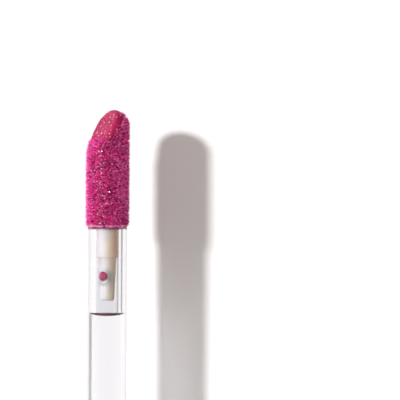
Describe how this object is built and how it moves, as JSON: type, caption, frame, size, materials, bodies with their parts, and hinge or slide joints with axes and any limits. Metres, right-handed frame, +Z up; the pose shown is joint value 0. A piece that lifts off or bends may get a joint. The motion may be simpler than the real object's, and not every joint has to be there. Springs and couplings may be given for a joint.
{
  "type": "lip gloss tube",
  "caption": "Square-section lip gloss tube lying open: a clear vial with a wiper in its threaded neck, and a screw cap that carries a clear wand with a flocked doe-foot tip.",
  "frame": {"origin": "on the resting plane, under the middle of the opened tube's length, on its long axis", "axes": "+Y along the wand from the cap to the vial, +Z up from the side that the tube lies on, +X to the right of the wand seen from above with its tip away from the viewer"},
  "size_m": [0.02, 0.1852, 0.02],
  "materials": {
    "vial_clear": "polished clear copolyester",
    "wiper": "natural soft polyethylene",
    "gloss": "glossy magenta gel with silver and pink glitter",
    "cap_shell": "blush pink pearl, polished",
    "inner_cap": "moulded white polypropylene",
    "cap_weight": "turned steel",
    "seal_washer": "soft polyethylene foam",
    "wand_clear": "polished clear copolyester",
    "tip_core": "moulded cream elastomer",
    "flock": "short nylon flock wet with gloss"
  },
  "bodies": {
    "vial": {"vial": "vial_clear", "wiper": "wiper", "gloss_fill": "gloss"},
    "seal_washer": {"seal_washer": "seal_washer"},
    "cap_weight": {"cap_weight": "cap_weight"},
    "cap": {"cap_shell": "cap_shell", "inner_cap": "inner_cap", "wand": "wand_clear", "tip_core": "tip_core", "flocking": "flock", "gloss_bead": "gloss"}
  },
  "joints": [
    {"name": "wand_draw", "type": "slide", "parent": "vial", "child": "seal_washer", "axis": [0, 1, 0], "range_m": [0, 0.07945]},
    {"name": "thread_lift", "type": "slide", "parent": "seal_washer", "child": "cap_weight", "axis": [0, 1, 0], "range_m": [0, 0.00375]},
    {"name": "cap_turn", "type": "hinge", "parent": "cap_weight", "child": "cap", "pos_m": [0, -0.05265, 0.01], "axis": [0, 1, 0], "range_deg": [0, 450]}
  ],
  "couplings": [
    {"joint": "thread_lift", "follows": "cap_turn", "m_per_rad": 0.00047746}
  ]
}
